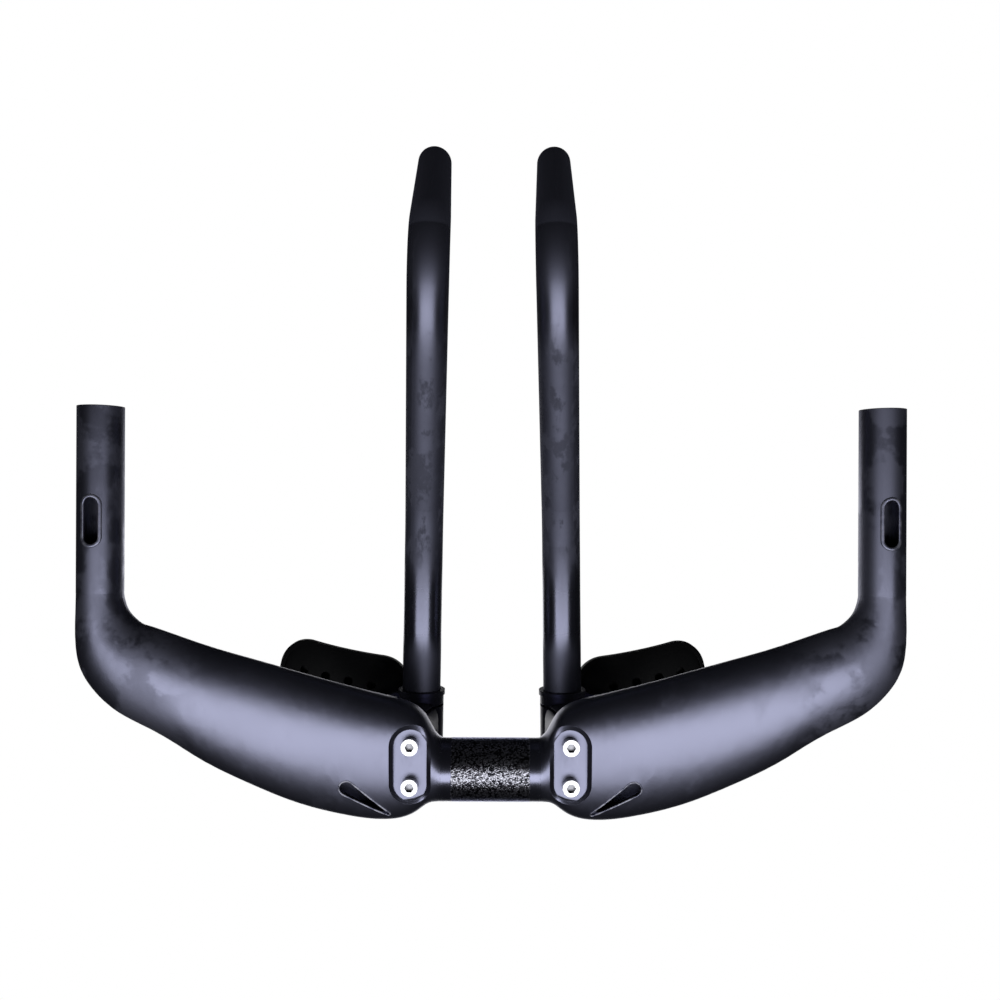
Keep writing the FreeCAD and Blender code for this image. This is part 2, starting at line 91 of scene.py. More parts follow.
class Flow:
    """A shader socket that takes part in Python expressions."""

    def __init__(self, graph: "Graph", socket: bpy.types.NodeSocket) -> None:
        """Wrap one output socket.

        Args:
            graph: The node tree that new nodes are added to.
            socket: The output socket that carries the value.
        """
        self.graph = graph
        self.socket = socket

    def _maths(self, operation: str, *values: Any) -> "Flow":
        """Add one Math node.

        Args:
            operation: The node's operation.
            values: Its inputs in order, as numbers or flows.

        Returns:
            The node's result.
        """
        inputs = dict(enumerate(values))
        return self.graph.node("ShaderNodeMath", {"operation": operation}, inputs)

    def __add__(self, other: Any) -> "Flow":
        """Return self + other."""
        return self._maths("ADD", self, other)

    def __radd__(self, other: Number) -> "Flow":
        """Return other + self."""
        return self._maths("ADD", other, self)

    def __sub__(self, other: Any) -> "Flow":
        """Return self - other."""
        return self._maths("SUBTRACT", self, other)

    def __rsub__(self, other: Number) -> "Flow":
        """Return other - self."""
        return self._maths("SUBTRACT", other, self)

    def __mul__(self, other: Any) -> "Flow":
        """Return self * other."""
        return self._maths("MULTIPLY", self, other)

    def __rmul__(self, other: Number) -> "Flow":
        """Return other * self."""
        return self._maths("MULTIPLY", other, self)

    def __truediv__(self, other: Any) -> "Flow":
        """Return self / other."""
        return self._maths("DIVIDE", self, other)

    def __pow__(self, other: Any) -> "Flow":
        """Return self to a power."""
        return self._maths("POWER", self, other)

    def __abs__(self) -> "Flow":
        """Return the size of self without its sign."""
        return self._maths("ABSOLUTE", self)

    def smallest(self, other: Any) -> "Flow":
        """Return the smaller of two values."""
        return self._maths("MINIMUM", self, other)

    def largest(self, other: Any) -> "Flow":
        """Return the larger of two values."""
        return self._maths("MAXIMUM", self, other)

    def sine(self) -> "Flow":
        """Return the sine of self."""
        return self._maths("SINE", self)

    def ramp(self, low: Number, high: Number, at_low: Number = 0.0, at_high: Number = 1.0) -> "Flow":
        """Map a range smoothly onto another one.

        Args:
            low: Where the change begins.
            high: Where the change ends.
            at_low: The result at and before low.
            at_high: The result at and past high.

        Returns:
            The mapped value.
        """
        settings = {"interpolation_type": "SMOOTHSTEP", "clamp": True}
        inputs = {"Value": self, "From Min": low, "From Max": high, "To Min": at_low, "To Max": at_high}
        return self.graph.node("ShaderNodeMapRange", settings, inputs)


class Graph:
    """The node tree of a material or a world, written through small calls."""

    def __init__(self, tree: bpy.types.NodeTree) -> None:
        """Empty a node tree and take it over.

        Args:
            tree: The tree to write.
        """
        self.tree = tree
        tree.nodes.clear()

    @classmethod
    def of_material(cls, name: str) -> tuple["Graph", bpy.types.Material]:
        """Make a new material with an empty tree.

        Args:
            name: The material's name.

        Returns:
            The graph and its material.
        """
        material = bpy.data.materials.new(name)
        material.use_nodes = True
        return cls(material.node_tree), material

    def raw(self, kind: str, settings: dict[str, Any] | None = None,
            inputs: dict[str | int, Any] | None = None) -> bpy.types.Node:
        """Add one node of any type.

        Args:
            kind: The node's type name.
            settings: Properties that are set before the sockets.
            inputs: Values or links by socket name or index.

        Returns:
            The node itself.
        """
        node = self.tree.nodes.new(kind)
        for name, value in (settings or {}).items():
            setattr(node, name, value)
        for name, value in (inputs or {}).items():
            if isinstance(value, Flow):
                self.tree.links.new(value.socket, node.inputs[name])
            else:
                node.inputs[name].default_value = value
        return node

    def node(self, kind: str, settings: dict[str, Any] | None = None,
             inputs: dict[str | int, Any] | None = None, output: str | int = 0) -> Flow:
        """Add one node and return one of its outputs.

        Args:
            kind: The node's type name.
            settings: Properties that are set before the sockets.
            inputs: Values or links by socket name or index.
            output: The output's name or index.

        Returns:
            The chosen output.
        """
        return Flow(self, self.raw(kind, settings, inputs).outputs[output])

    def place(self) -> Flow:
        """Return the point in the part's frame."""
        return self.node("ShaderNodeTexCoord", output="Object")

    def axis(self, vector: Flow, name: str) -> Flow:
        """Return one coordinate of a vector, named X, Y or Z."""
        return self.node("ShaderNodeSeparateXYZ", inputs={0: vector}, output=name)

    def stretched(self, vector: Flow, scale: Point) -> Flow:
        """Return a vector with each coordinate scaled."""
        return self.node("ShaderNodeVectorMath", {"operation": "MULTIPLY"}, {0: vector, 1: scale})

    def cells(self, vector: Flow, scale: Number, output: str = "Distance") -> Flow:
        """Return a cell pattern's distance or colour, with a number of cells per metre."""
        return self.node("ShaderNodeTexVoronoi", None, {"Vector": vector, "Scale": scale}, output)

    def mixed(self, share: Flow, first: Any, second: Any) -> Flow:
        """Return a colour between two, where share 0 is the first one."""
        settings = {"data_type": "RGBA"}
        return self.node("ShaderNodeMix", settings, {0: share, 6: rgba(first), 7: rgba(second)}, 2)

    def rounded(self, radius: Number) -> Flow:
        """Return a normal that rounds off sharp edges by a radius."""
        return self.node("ShaderNodeBevel", {"samples": BEVEL_SAMPLES}, {"Radius": radius})

    def alike(self, first: Flow, second: Any) -> Flow:
        """Return how far two directions agree, from -1 to 1."""
        settings = {"operation": "DOT_PRODUCT"}
        return self.node("ShaderNodeVectorMath", settings, {0: first, 1: second}, "Value")

    def edges(self, rounded: Flow) -> Flow:
        """Return a mask that is 1 on sharp edges, where the rounded normal departs from the true one."""
        true_normal = self.node("ShaderNodeNewGeometry", output="Normal")
        return (1 - self.alike(rounded, true_normal)).ramp(*EDGE_TURN)

    def bump(self, height: Flow, distance: Number, normal: Flow | None = None) -> Flow:
        """Return a normal that is disturbed by a height.

        Args:
            height: The height from 0 to 1.
            distance: The depth of a full height.
            normal: The normal to start from, or the surface's own.

        Returns:
            The disturbed normal.
        """
        inputs: dict[str | int, Any] = {"Strength": 1.0, "Distance": distance, "Height": height}
        if normal is not None:
            inputs["Normal"] = normal
        return self.node("ShaderNodeBump", None, inputs)

    def finish(self, inputs: dict[str | int, Any]) -> None:
        """Add the surface shader and the output.

        Args:
            inputs: The shader's sockets by name.
        """
        shader = self.node("ShaderNodeBsdfPrincipled", None, inputs)
        self.raw("ShaderNodeOutputMaterial", None, {"Surface": shader})


@dataclass(frozen=True)
class Cloud:
    """A cloudy pattern.

    scale is in clouds per metre, and detail and rough are the number and strength of its finer layers.
    stretch scales the place that is looked up, and keep is the span of values that is spread over 0 to 1.
    """

    scale: float
    detail: float = 2.0
    rough: float = 0.5
    stretch: Point | None = None
    keep: Span | None = None

    def build(self, graph: Graph, place: Flow) -> Flow:
        """Add the pattern to a node tree.

        Args:
            graph: The node tree that is written.
            place: The point in the part's frame.

        Returns:
            A value from 0 to 1.
        """
        if self.stretch is not None:
            place = graph.stretched(place, self.stretch)
        inputs = {"Vector": place, "Scale": self.scale, "Detail": self.detail, "Roughness": self.rough}
        value = graph.node("ShaderNodeTexNoise", None, inputs)
        return value if self.keep is None else value.ramp(*self.keep)


@dataclass(frozen=True)
class Outline:
    """The outline of an opening under the right half of the bar: a line with a round end at each point.

    lip is half the width of the raised lip round it.
    """

    start: tuple[float, float]
    end: tuple[float, float]
    start_radius: float
    end_radius: float
    lip: float = 0.0

    def distance(self, graph: Graph, place: Flow) -> Flow:
        """Return the distance outside the outline, seen from below.

        Args:
            graph: The node tree that is written.
            place: The point in the part's frame.

        Returns:
            The distance in metres, below zero inside. Both halves of the bar give the same.
        """
        run_x = self.end[0] - self.start[0]
        run_y = self.end[1] - self.start[1]
        off_x = abs(graph.axis(place, "X")) - self.start[0]
        off_y = graph.axis(place, "Y") - self.start[1]
        share = (off_x * run_x + off_y * run_y) / (run_x ** 2 + run_y ** 2)
        share = share.largest(0.0).smallest(1.0)
        side_x = off_x - share * run_x
        side_y = off_y - share * run_y
        reach = (side_x * side_x + side_y * side_y) ** 0.5
        return reach - (share * (self.end_radius - self.start_radius) + self.start_radius)

    def loop(self, offset: float, spacing: float) -> list[Vector]:
        """Return points round the outline, seen from above.

        Args:
            offset: How far outside the outline they lie.
            spacing: About how far apart they are.

        Returns:
            Evenly spaced points, counter-clockwise.
        """
        run = Vector(self.end) - Vector(self.start)
        heading = math.atan2(run.y, run.x)
        lean = math.acos((self.start_radius - self.end_radius) / run.length)
        arcs = (
            (self.start, self.start_radius + offset, heading + lean, 2 * (math.pi - lean)),
            (self.end, self.end_radius + offset, heading - lean, 2 * lean),
        )
        corners = []
        for (x, y), radius, first, sweep in arcs:
            for step in range(ARC_STEPS + 1):
                turn = first + sweep * step / ARC_STEPS
                corners.append(Vector((x + radius * math.cos(turn), y + radius * math.sin(turn))))
        corners.append(corners[0])
        return [start for start, _ in dashes(corners, 0.0, spacing)]


def rgba(value: Any) -> Any:
    """Return a colour with its fourth number, and anything else as it is."""
    if isinstance(value, tuple) and len(value) == 3:
        return (*value, 1.0)
    return value


def reflecting(index: float) -> dict[str | int, Any]:
    """Return the shader sockets of a fully reflecting, slightly blue skin."""
    return {"IOR": index, "Specular IOR Level": 1.0, "Specular Tint": rgba(SKIN_SHEEN)}


@dataclass(frozen=True)
class SatinMoulding:
    """Satin black skin of the moulded base bar, with a gritted stem band and softened bolt pockets."""

    name: str = "satin_moulding"
    dark: Colour = (0.0028, 0.0028, 0.0036)
    pale: Colour = (0.0065, 0.0065, 0.0085)
    scuffed: Colour = (0.060, 0.060, 0.070)
    pit: Colour = (0.008, 0.008, 0.010)
    fleck: Colour = (0.35, 0.35, 0.39)
    roughness: float = 0.30
    index: float = 2.0
    edge_radius: float = 0.7 * MM
    facing_down: Span = (-0.15, -0.45)
    clouds: Cloud = Cloud(22, 4, 0.6)
    clouds_rough: float = 0.10
    smudges: Cloud = Cloud(75, 5, 0.65, (1.0, 0.45, 1.0), (0.52, 0.74))
    smudges_rough: float = 0.07
    scuffs: Cloud = Cloud(420, 3, 0.7, (1.0, 0.12, 1.0), (0.66, 0.80))
    scuffs_tint: float = 0.35
    scuffs_polish: float = 0.05
    elbow: Span = (140.0 * MM, 172.0 * MM)
    patches: Cloud = Cloud(34, 5, 0.62, keep=(0.47, 0.56))
    patches_tint: float = 0.20
    patches_rough: float = 0.14
    stem: Span = (30.0 * MM, 23.0 * MM)
    stem_polish: float = 0.13
    band: Span = (19.9 * MM, 19.5 * MM)
    ragged: Cloud = Cloud(700)
    ragged_width: float = 1.6 * MM
    grains: float = 1650.0
    grains_lit: Span = (0.30, 0.80)
    grains_metal: float = 0.97
    peel: Cloud = Cloud(900)
    peel_height: float = 0.05
    relief: float = 0.12 * MM
    pocket: Outline = Outline((40.2 * MM, -3.6 * MM), (40.2 * MM, 15.6 * MM), 8.4 * MM, 8.4 * MM)
    fillet_width: float = 2.1 * MM
    fillet_depth: float = 2.5

    def underside(self, graph: Graph) -> Flow:
        """Return a mask of the surfaces that face down."""
        normal = graph.node("ShaderNodeNewGeometry", output="Normal")
        return graph.axis(normal, "Z").ramp(*self.facing_down)

    def curl(self, graph: Graph, place: Flow) -> Flow:
        """Return a value that rises to 1 where the skin turns in at a bolt pocket."""
        near = 1 - self.pocket.distance(graph, place) / self.fillet_width
        return near.largest(0.0).smallest(1.0) * self.underside(graph)

    def build(self) -> bpy.types.Material:
        """Return the finished material."""
        graph, material = Graph.of_material(self.name)
        place = graph.place()
        across = abs(graph.axis(place, "X"))
        clouds = self.clouds.build(graph, place)
        smudges = self.smudges.build(graph, place)
        scuffs = self.scuffs.build(graph, place)
        patches = self.patches.build(graph, place) * across.ramp(*self.elbow)
        ragged = self.ragged.build(graph, place) * self.ragged_width - self.ragged_width / 2
        band = (across + ragged).ramp(*self.band)
        grain = graph.cells(place, self.grains)
        glint = graph.axis(graph.cells(place, self.grains, "Color"), "X").ramp(*self.grains_lit)
        colour = graph.mixed(clouds, self.dark, self.pale)
        scuffing = scuffs * self.scuffs_tint + patches * self.patches_tint
        colour = graph.mixed(scuffing, colour, self.scuffed)
        colour = graph.mixed(band, colour, graph.mixed(glint, self.pit, self.fleck))
        rough = clouds * self.clouds_rough + self.roughness
        rough = rough + smudges * self.smudges_rough - scuffs * self.scuffs_polish
        rough = rough + patches * self.patches_rough - across.ramp(*self.stem) * self.stem_polish
        heights = self.peel.build(graph, place) * self.peel_height + band * (1 - grain)
        fine = graph.bump(heights, self.relief, graph.rounded(self.edge_radius))
        graph.finish({
            "Base Color": colour, "Roughness": rough, "Metallic": band * self.grains_metal,
            "Normal": graph.bump(self.curl(graph, place) * -self.fillet_depth, MM, fine),
            **reflecting(self.index),
        })
        return material


@dataclass(frozen=True)
class RubbedHighlitLip:
    """Moulded lip of a cable opening, pale in cloudy rubs that are partly wear and partly a painted highlight
    of the rim, under the wings and less so at the horns.
    """

    name: str = "rubbed_highlit_lip"
    dark: Colour = (0.02, 0.02, 0.025)
    # Pale colour of the lip, partly wear and partly a painted highlight of its rim.
    pale: Colour = (0.42, 0.42, 0.46)
    roughness: float = 0.38
    index: float = 2.0
    rubs: Cloud = Cloud(260, 4, 0.6, keep=(0.38, 0.60))
    rubs_rough: float = 0.1
    horn: Span = (40.0 * MM, 90.0 * MM)
    horn_rubs_and_highlight: float = 0.2

    def build(self) -> bpy.types.Material:
        """Return the finished material."""
        graph, material = Graph.of_material(self.name)
        place = graph.place()
        # Painted highlight mixed with wear: the pale share is full under the wings and falls towards the
        # horns.
        wear = graph.axis(place, "Y").ramp(*self.horn, 1.0, self.horn_rubs_and_highlight)
        rubs = self.rubs.build(graph, place) * wear
        graph.finish({
            "Base Color": graph.mixed(rubs, self.dark, self.pale),
            "Roughness": rubs * self.rubs_rough + self.roughness,
            **reflecting(self.index),
        })
        return material


@dataclass(frozen=True)
class SatinTube:
    """Satin black tube of the extensions, rubbed matt in its middle and darker at the upturned tips."""

    name: str = "satin_tube"
    dark: Colour = (0.003, 0.003, 0.0038)
    pale: Colour = (0.007, 0.007, 0.0085)
    rubbed: Colour = (0.035, 0.035, 0.04)
    roughness: float = 0.22
    index: float = 1.85
    edge_radius: float = 0.4 * MM
    clouds: Cloud = Cloud(30, 4, 0.6)
    clouds_rough: float = 0.08
    rubs: Cloud = Cloud(160, 4, 0.7, (1.0, 0.25, 1.0), (0.55, 0.75))
    rubs_tint: float = 0.25
    rubs_rough: float = 0.10
    drawn: Cloud = Cloud(1400, stretch=(1.0, 0.03, 1.0))
    drawn_depth: float = 0.01 * MM
    matt_from: Span = (82.0 * MM, 118.0 * MM)
    matt_to: Span = (242.0 * MM, 206.0 * MM)
    matt_rough: float = 0.24
    matt_clouds: float = 0.20
    matt_blotches: float = 0.22
    blotches: Cloud = Cloud(85, 5, 0.68, (1.0, 0.5, 1.0), (0.50, 0.60))
    blotches_tint: float = 0.30
    collar: Span = (64.0 * MM, 46.0 * MM)
    collar_rough: float = 0.34
    dull: Span = (226.0 * MM, 258.0 * MM)
    dull_rough: float = 0.28
    tip: Span = (280.5 * MM, 282.0 * MM)
    tip_rough: float = 0.50

    def build(self) -> bpy.types.Material:
        """Return the finished material."""
        graph, material = Graph.of_material(self.name)
        place = graph.place()
        along = graph.axis(place, "Y")
        tip = along.ramp(*self.tip)
        matt = along.ramp(*self.matt_from) * along.ramp(*self.matt_to)
        clouds = self.clouds.build(graph, place)
        rubs = self.rubs.build(graph, place)
        blotches = self.blotches.build(graph, place)
        colour = graph.mixed(clouds, self.dark, self.pale)
        rubbing = rubs * self.rubs_tint + blotches * matt * self.blotches_tint
        colour = graph.mixed(rubbing, colour, self.rubbed)
        rough = clouds * self.clouds_rough + rubs * self.rubs_rough + self.roughness
        rough = rough + matt * (clouds * self.matt_clouds + blotches * self.matt_blotches + self.matt_rough)
        rough = rough + along.ramp(*self.collar) * self.collar_rough
        rough = rough + along.ramp(*self.dull) * (1 - tip) * self.dull_rough + tip * self.tip_rough
        drawn = self.drawn.build(graph, place)
        graph.finish({
            "Base Color": colour, "Roughness": rough,
            "Normal": graph.bump(drawn, self.drawn_depth, graph.rounded(self.edge_radius)),
            **reflecting(self.index),
        })
        return material


@dataclass(frozen=True)
class BlackAnodised:
    """Bead-blasted black anodised alloy with slightly rubbed edges."""

    name: str = "black_anodised"
    dark: Colour = (0.010, 0.010, 0.012)
    pale: Colour = (0.024, 0.024, 0.028)
    rubbed: Colour = (0.16, 0.16, 0.17)
    sheen: Colour = (0.42, 0.42, 0.95)
    roughness: float = 0.34
    edge_radius: float = 0.5 * MM
    clouds: Cloud = Cloud(60, 3, 0.6)
    clouds_rough: float = 0.06
    blast: Cloud = Cloud(2600, 2, 0.6)
    blast_rough: float = 0.10
    blast_depth: float = 0.03 * MM
    wear: Cloud = Cloud(260, 4, 0.7, keep=(0.45, 0.70))
    wear_tint: float = 0.6
    wear_metal: float = 0.8
    wear_polish: float = 0.06

    def build(self) -> bpy.types.Material:
        """Return the finished material."""
        graph, material = Graph.of_material(self.name)
        place = graph.place()
        clouds = self.clouds.build(graph, place)
        blast = self.blast.build(graph, place)
        rounded = graph.rounded(self.edge_radius)
        wear = graph.edges(rounded) * self.wear.build(graph, place)
        colour = graph.mixed(clouds, self.dark, self.pale)
        colour = graph.mixed(wear * self.wear_tint, colour, self.rubbed)
        rough = blast * self.blast_rough + clouds * self.clouds_rough + self.roughness
        graph.finish({
            "Base Color": colour, "Roughness": rough - wear * self.wear_polish,
            "Metallic": wear * self.wear_metal, "Normal": graph.bump(blast, self.blast_depth, rounded),
            "Specular Tint": rgba(self.sheen),
        })
        return material


@dataclass(frozen=True)
class BrightSteel:
    """Bright turned steel of the bolts and nuts, with painted shade darkening its sockets and other hollows.
    """

    name: str = "bright_steel"
    bright: Colour = (0.72, 0.72, 0.73)
    dull: Colour = (0.46, 0.46, 0.48)
    # Painted shade colour for the sockets and other closed-in hollows.
    painted_shade: Colour = (0.20, 0.20, 0.215)
    roughness: float = 0.28
    edge_radius: float = 0.35 * MM
    turned: Cloud = Cloud(2600, stretch=(1.0, 1.0, 0.2))
    turned_rough: float = 0.10
    turned_depth: float = 0.012 * MM
    stains: Cloud = Cloud(420, 4, 0.6, keep=(0.50, 0.78))
    stains_tint: float = 0.7
    stains_rough: float = 0.14
    socket_reach: float = 6.0 * MM
    socket_samples: int = 8
    socket_dark: Span = (0.45, 0.78)

    def build(self) -> bpy.types.Material:
        """Return the finished material."""
        graph, material = Graph.of_material(self.name)
        place = graph.place()
        turned = self.turned.build(graph, place)
        stains = self.stains.build(graph, place)
        colour = graph.mixed(stains * self.stains_tint, self.bright, self.dull)
        settings = {"samples": self.socket_samples}
        reach = {"Distance": self.socket_reach}
        open_sky = graph.node("ShaderNodeAmbientOcclusion", settings, reach, "AO")
        # Painted shade: where ambient occlusion finds the surface closed in, as in the hex sockets, the
        # colour turns to a darker grey.
        colour = graph.mixed(open_sky.ramp(*self.socket_dark, 1.0, 0.0), colour, self.painted_shade)
        rough = turned * self.turned_rough + stains * self.stains_rough + self.roughness
        graph.finish({
            "Base Color": colour, "Roughness": rough, "Metallic": 1.0,
            "Normal": graph.bump(turned, self.turned_depth, graph.rounded(self.edge_radius)),
        })
        return material


@dataclass(frozen=True)
class GrainedPlastic:
    """Matt black moulded plastic with a fine leathery grain, for the arm rest cups."""

    name: str = "grained_plastic"
    dark: Colour = (0.0030, 0.0030, 0.0036)
    pale: Colour = (0.0060, 0.0060, 0.0070)
    roughness: float = 0.52
    reflection: float = 0.28
    edge_radius: float = 0.6 * MM
    edge_polish: float = 0.10
    clouds: Cloud = Cloud(40, 3, 0.6)
    clouds_rough: float = 0.08
    grains: float = 1100.0
    grains_rough: float = 0.10
    grains_depth: float = 0.05 * MM

    def build(self) -> bpy.types.Material:
        """Return the finished material."""
        graph, material = Graph.of_material(self.name)
        place = graph.place()
        clouds = self.clouds.build(graph, place)
        grain = graph.cells(place, self.grains)
        rounded = graph.rounded(self.edge_radius)
        rough = clouds * self.clouds_rough + grain * self.grains_rough + self.roughness
        graph.finish({
            "Base Color": graph.mixed(clouds, self.dark, self.pale),
            "Roughness": rough - graph.edges(rounded) * self.edge_polish,
            "Normal": graph.bump(grain, self.grains_depth, rounded),
            "Specular IOR Level": self.reflection,
        })
        return material


@dataclass(frozen=True)
class KnittedCover:
    """Black knitted cover of the arm pads, with a soft nap."""

    name: str = "knitted_cover"
    dark: Colour = (0.007, 0.007, 0.008)
    pale: Colour = (0.022, 0.022, 0.024)
    faded: Colour = (0.032, 0.032, 0.034)
    roughness: float = 0.80
    nap: float = 0.07
    nap_roughness: float = 0.5
    stitches_across: float = 900.0
    stitches_along: float = 630.0
    knit_tint: float = 0.6
    knit_height: float = 0.7
    fuzz: Cloud = Cloud(3000, 3, 0.7)
    fuzz_tint: float = 0.4
    fuzz_rough: float = 0.12
    fuzz_height: float = 0.5
    fading: Cloud = Cloud(70, 3, 0.6, keep=(0.5, 0.8))
    fading_tint: float = 0.3
    relief: float = 0.16 * MM

    def build(self) -> bpy.types.Material:
        """Return the finished material."""
        graph, material = Graph.of_material(self.name)
        place = graph.place()
        across = (graph.axis(place, "X") * (2 * math.pi * self.stitches_across)).sine()
        along = (graph.axis(place, "Y") * (2 * math.pi * self.stitches_along)).sine()
        knit = (across * along + 1) / 2
        fuzz = self.fuzz.build(graph, place)
        colour = graph.mixed(knit * self.knit_tint + fuzz * self.fuzz_tint, self.dark, self.pale)
        colour = graph.mixed(self.fading.build(graph, place) * self.fading_tint, colour, self.faded)
        graph.finish({
            "Base Color": colour, "Roughness": fuzz * self.fuzz_rough + self.roughness,
            "Normal": graph.bump(knit * self.knit_height + fuzz * self.fuzz_height, self.relief),
            "Sheen Weight": self.nap, "Sheen Roughness": self.nap_roughness,
        })
        return material


@dataclass(frozen=True)
class SewingThread:
    """Twisted black thread of the pads' seams."""

    name: str = "sewing_thread"
    dark: Colour = (0.020, 0.020, 0.022)
    pale: Colour = (0.070, 0.070, 0.075)
    roughness: float = 0.55
    twist: Cloud = Cloud(3500, stretch=(1.0, 1.0, 3.0))
    twist_rough: float = 0.2
    twist_depth: float = 0.08 * MM

    def build(self) -> bpy.types.Material:
        """Return the finished material."""
        graph, material = Graph.of_material(self.name)
        twist = self.twist.build(graph, graph.place())
        graph.finish({
            "Base Color": graph.mixed(twist, self.dark, self.pale),
            "Roughness": twist * self.twist_rough + self.roughness,
            "Normal": graph.bump(twist, self.twist_depth),
        })
        return material


@dataclass(frozen=True)
class Lamp:
    """One soft rectangular lamp, facing a target, with its power in watts."""

    name: str
    place: Point
    target: Point
    size: tuple[float, float]
    power: float
    colour: Colour

    def build(self) -> None:
        """Hang the lamp in the scene, out of the camera's sight."""
        data = bpy.data.lights.new(self.name, "AREA")
        data.shape = "RECTANGLE"
        data.size, data.size_y = self.size
        data.energy = self.power
        data.color = self.colour
        lamp = bpy.data.objects.new(self.name, data)
        lamp.location = self.place
        away = Vector(self.place) - Vector(self.target)
        lamp.rotation_euler = away.to_track_quat("Z", "Y").to_euler()
        lamp.visible_camera = False
        bpy.context.scene.collection.objects.link(lamp)


@dataclass
class Studio:
    """Camera, lamps, floor and the white surround."""

    focal_px: float = 850.0
    image_px: float = 1000.0
    sensor_mm: float = 36.0
    camera_place: Point = (-4.3 * MM, 139.0 * MM, -439.0 * MM)
    camera_roll: float = 0.24
    camera_near: float = 10.0 * MM
    key_below: Lamp = Lamp(
        "key_below", (0.0, -0.155, -0.62), (0.0, 0.06, 0.0), (1.15, 0.35), 4.5, (0.96, 0.97, 1.0))
    fill_above: Lamp = Lamp(
        "fill_above", (0.3, -0.5, 1.5), (0.3, -0.5, 0.0), (1.4, 1.4), 9.0, (1.0, 0.99, 0.97))
    floor_height: float = -0.95
    floor_half: float = 60.0
    floor_dark: Colour = (0.84, 0.84, 0.84)
    floor_pale: Colour = (0.87, 0.87, 0.87)
    floor_mottle: Cloud = Cloud(3, 3)
    floor_rough: float = 0.9
    dim: Colour = (0.014, 0.0145, 0.016)
    white: Colour = (1.0, 1.0, 1.0)
    window: Point = (0.0, -0.34, 0.94)
    window_edge: Span = (0.75, 0.97)
    window_light: float = 0.55
    sky_edge: Span = (-0.1, 0.1)
    sky_light: float = 0.85
    haze: Span = (0.0, 0.35)
    haze_light: float = 0.6

    def build_camera(self) -> None:
        """Set the camera where the photograph was taken from, straight below the bar."""
        data = bpy.data.cameras.new("camera")
        data.sensor_fit = "HORIZONTAL"
        data.sensor_width = self.sensor_mm
        data.lens = self.focal_px / self.image_px * self.sensor_mm
        data.clip_start = self.camera_near
        camera = bpy.data.objects.new("camera", data)
        looking_up = Matrix.Rotation(math.pi, 4, "Y")
        roll = Matrix.Rotation(math.radians(self.camera_roll), 4, "Z")
        camera.matrix_world = Matrix.Translation(self.camera_place) @ looking_up @ roll
        bpy.context.scene.collection.objects.link(camera)
        bpy.context.scene.camera = camera

    def build_floor(self) -> None:
        """Lay the pale floor, well below the camera."""
        mesh = bpy.data.meshes.new("floor")
        half = self.floor_half
        corners = [(-half, -half), (half, -half), (half, half), (-half, half)]
        mesh.from_pydata([(x, y, self.floor_height) for x, y in corners], [], [(0, 1, 2, 3)])
        floor = bpy.data.objects.new("floor", mesh)
        bpy.context.scene.collection.objects.link(floor)
        graph, material = Graph.of_material("pale_floor")
        mottle = self.floor_mottle.build(graph, graph.place())
        colour = graph.mixed(mottle, self.floor_dark, self.floor_pale)
        graph.finish({"Base Color": colour, "Roughness": self.floor_rough})
        mesh.materials.append(material)
        floor.visible_diffuse = False
        floor.visible_glossy = False

    def build_world(self) -> None:
        """Surround the bar with white that greys towards the floor, plain light from above and one window."""
        world = bpy.data.worlds.new("surround")
        bpy.context.scene.world = world
        world.use_nodes = True
        graph = Graph(world.node_tree)
        rays = graph.raw("ShaderNodeLightPath")
        names = ("Is Camera Ray", "Is Glossy Ray", "Is Transmission Ray", "Is Diffuse Ray")
        camera, glossy, through, diffuse = (Flow(graph, rays.outputs[name]) for name in names)
        heading = graph.node("ShaderNodeTexCoord", output="Generated")
        towards = graph.alike(heading, self.window)
        height = graph.axis(heading, "Z")
        reflected = glossy.largest(through) * towards.ramp(*self.window_edge) * self.window_light
        sky = diffuse * height.ramp(*self.sky_edge, 0.0, self.sky_light)
        seen = camera * height.ramp(*self.haze, self.haze_light, 1.0)
        colour = graph.mixed(seen.largest(reflected).largest(sky), self.dim, self.white)
        background = graph.node("ShaderNodeBackground", None, {"Color": colour, "Strength": 1.0})
        graph.raw("ShaderNodeOutputWorld", None, {"Surface": background})

    def build(self) -> None:
        """Build the whole studio."""
        self.build_camera()
        self.key_below.build()
        self.fill_above.build()
        self.build_floor()
        self.build_world()
        settings = bpy.context.scene.view_settings
        settings.view_transform = "Standard"


